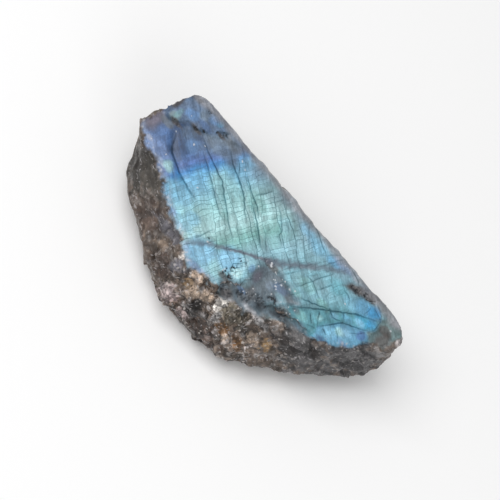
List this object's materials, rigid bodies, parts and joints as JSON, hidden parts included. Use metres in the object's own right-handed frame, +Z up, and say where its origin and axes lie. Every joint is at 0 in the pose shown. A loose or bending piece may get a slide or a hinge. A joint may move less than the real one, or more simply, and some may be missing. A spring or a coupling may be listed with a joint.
{
  "type": "rough labradorite chunk",
  "caption": "Wedge-shaped natural chunk of labradorite with one polished, cracked, colour-flashing face, a rough granular flank and a flat underside to rest on.",
  "frame": {"origin": "centre of the bounding box in plan, on the ground under the stone's flat underside", "axes": "+X along the stone towards its blunt dark end, -Y towards the rough granular flank, +Z up from the ground"},
  "size_m": [0.0626, 0.0292, 0.019],
  "materials": {
    "labradorite": "polished on the upper face with a blue to green flash, rough and granular brown-grey elsewhere"
  },
  "bodies": {
    "root": {"labradorite_chunk": "labradorite"}
  },
  "joints": []
}
